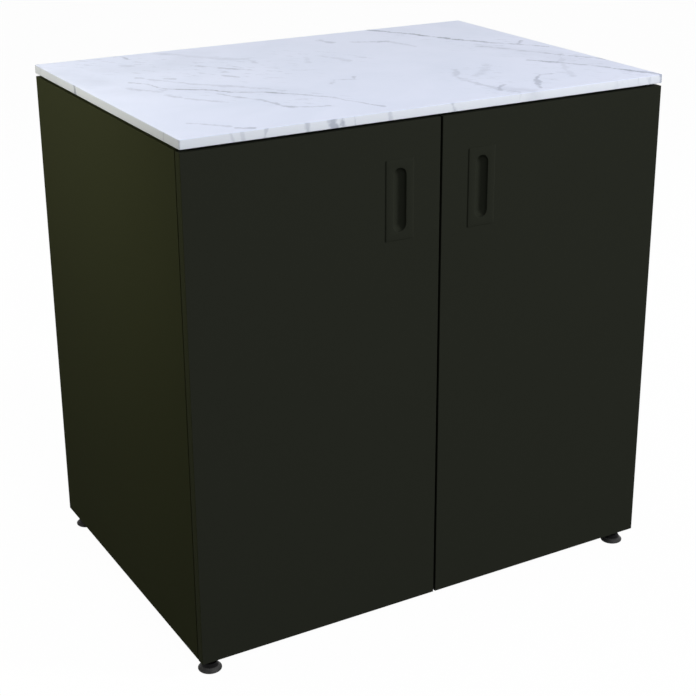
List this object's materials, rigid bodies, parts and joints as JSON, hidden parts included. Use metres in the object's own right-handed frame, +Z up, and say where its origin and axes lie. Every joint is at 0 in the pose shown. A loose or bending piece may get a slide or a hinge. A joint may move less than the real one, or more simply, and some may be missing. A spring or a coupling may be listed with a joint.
{
  "type": "outdoor kitchen base cabinet",
  "caption": "Free-standing outdoor kitchen base cabinet with a stone worktop on a shadow gap, full-overlay doors with recessed finger pulls, an inner shelf and levelling feet.",
  "frame": {"origin": "on the floor, under the middle of the worktop slab", "axes": "+Z up, +X to the right seen from the front, +Y from the doors to the back"},
  "size_m": [0.9, 0.631, 0.909],
  "materials": {
    "marble_slab": "satin honed",
    "body_coating": "fine matt powder coat",
    "door_coating": "fine matt powder coat",
    "inside_coating": "fine matt powder coat",
    "pull_coating": "matt, moulded in the body colour",
    "nickel_plated_steel": "nickel plated",
    "zinc_plated_steel": "dark zinc plated",
    "screw_steel": "stainless",
    "foot_plastic": "glass-filled nylon",
    "black_rubber": "matt"
  },
  "bodies": {
    "cabinet": {"back_panel": "inside_coating", "back_panel_screws": "screw_steel", "door_bumpers": "black_rubber", "floor_panel": "inside_coating", "floor_screws": "screw_steel", "foot_brackets": "inside_coating", "foot_sockets": "nickel_plated_steel", "front_top_rail": "inside_coating", "left_hinge_arms": "nickel_plated_steel", "left_hinge_plate_screws": "screw_steel", "left_hinge_plates": "nickel_plated_steel", "left_side_liner": "inside_coating", "left_side_outer_skin": "body_coating", "rail_screws": "screw_steel", "rear_top_rail": "inside_coating", "right_hinge_arms": "nickel_plated_steel", "right_hinge_plate_screws": "screw_steel", "right_hinge_plates": "nickel_plated_steel", "right_side_liner": "inside_coating", "right_side_outer_skin": "body_coating", "shelf": "inside_coating", "shelf_pins": "nickel_plated_steel", "slab_pads": "black_rubber", "worktop_slab": "marble_slab"},
    "left_door": {"left_door_inner_pan": "door_coating", "left_door_outer_pan": "door_coating", "left_finger_pull": "pull_coating", "left_hinge_housing_screws": "screw_steel", "left_hinge_housings": "nickel_plated_steel", "left_hinge_pins": "nickel_plated_steel", "left_pull_screws": "screw_steel"},
    "right_door": {"right_door_inner_pan": "door_coating", "right_door_outer_pan": "door_coating", "right_finger_pull": "pull_coating", "right_hinge_housing_screws": "screw_steel", "right_hinge_housings": "nickel_plated_steel", "right_hinge_pins": "nickel_plated_steel", "right_pull_screws": "screw_steel"},
    "front_left_pad": {"front_left_foot_pad": "foot_plastic"},
    "front_left_stem": {"front_left_foot_stem": "zinc_plated_steel"},
    "front_right_pad": {"front_right_foot_pad": "foot_plastic"},
    "front_right_stem": {"front_right_foot_stem": "zinc_plated_steel"},
    "back_left_pad": {"back_left_foot_pad": "foot_plastic"},
    "back_left_stem": {"back_left_foot_stem": "zinc_plated_steel"},
    "back_right_pad": {"back_right_foot_pad": "foot_plastic"},
    "back_right_stem": {"back_right_foot_stem": "zinc_plated_steel"}
  },
  "joints": [
    {"name": "left_door_swing", "type": "hinge", "parent": "cabinet", "child": "left_door", "pos_m": [-0.44315, -0.3089, 0.459], "axis": [0, 0, -1], "range_deg": [0, 105]},
    {"name": "right_door_swing", "type": "hinge", "parent": "cabinet", "child": "right_door", "pos_m": [0.44315, -0.3089, 0.459], "axis": [0, 0, 1], "range_deg": [0, 105]},
    {"name": "front_left_foot_height", "type": "slide", "parent": "cabinet", "child": "front_left_pad", "axis": [0, 0, -1], "range_m": [0, 0.015]},
    {"name": "front_left_stem_turn", "type": "hinge", "parent": "front_left_pad", "child": "front_left_stem", "pos_m": [-0.42475, -0.2865, 0.02], "axis": [0, 0, -1], "range_deg": [0, 4321]},
    {"name": "front_right_foot_height", "type": "slide", "parent": "cabinet", "child": "front_right_pad", "axis": [0, 0, -1], "range_m": [0, 0.015]},
    {"name": "front_right_stem_turn", "type": "hinge", "parent": "front_right_pad", "child": "front_right_stem", "pos_m": [0.42475, -0.2865, 0.02], "axis": [0, 0, -1], "range_deg": [0, 4321]},
    {"name": "back_left_foot_height", "type": "slide", "parent": "cabinet", "child": "back_left_pad", "axis": [0, 0, -1], "range_m": [0, 0.015]},
    {"name": "back_left_stem_turn", "type": "hinge", "parent": "back_left_pad", "child": "back_left_stem", "pos_m": [-0.42475, 0.289, 0.02], "axis": [0, 0, -1], "range_deg": [0, 4321]},
    {"name": "back_right_foot_height", "type": "slide", "parent": "cabinet", "child": "back_right_pad", "axis": [0, 0, -1], "range_m": [0, 0.015]},
    {"name": "back_right_stem_turn", "type": "hinge", "parent": "back_right_pad", "child": "back_right_stem", "pos_m": [0.42475, 0.289, 0.02], "axis": [0, 0, -1], "range_deg": [0, 4321]}
  ],
  "couplings": [
    {"joint": "front_left_stem_turn", "follows": "front_left_foot_height", "rad_per_m": 5026.5},
    {"joint": "front_right_stem_turn", "follows": "front_right_foot_height", "rad_per_m": 5026.5},
    {"joint": "back_left_stem_turn", "follows": "back_left_foot_height", "rad_per_m": 5026.5},
    {"joint": "back_right_stem_turn", "follows": "back_right_foot_height", "rad_per_m": 5026.5}
  ]
}
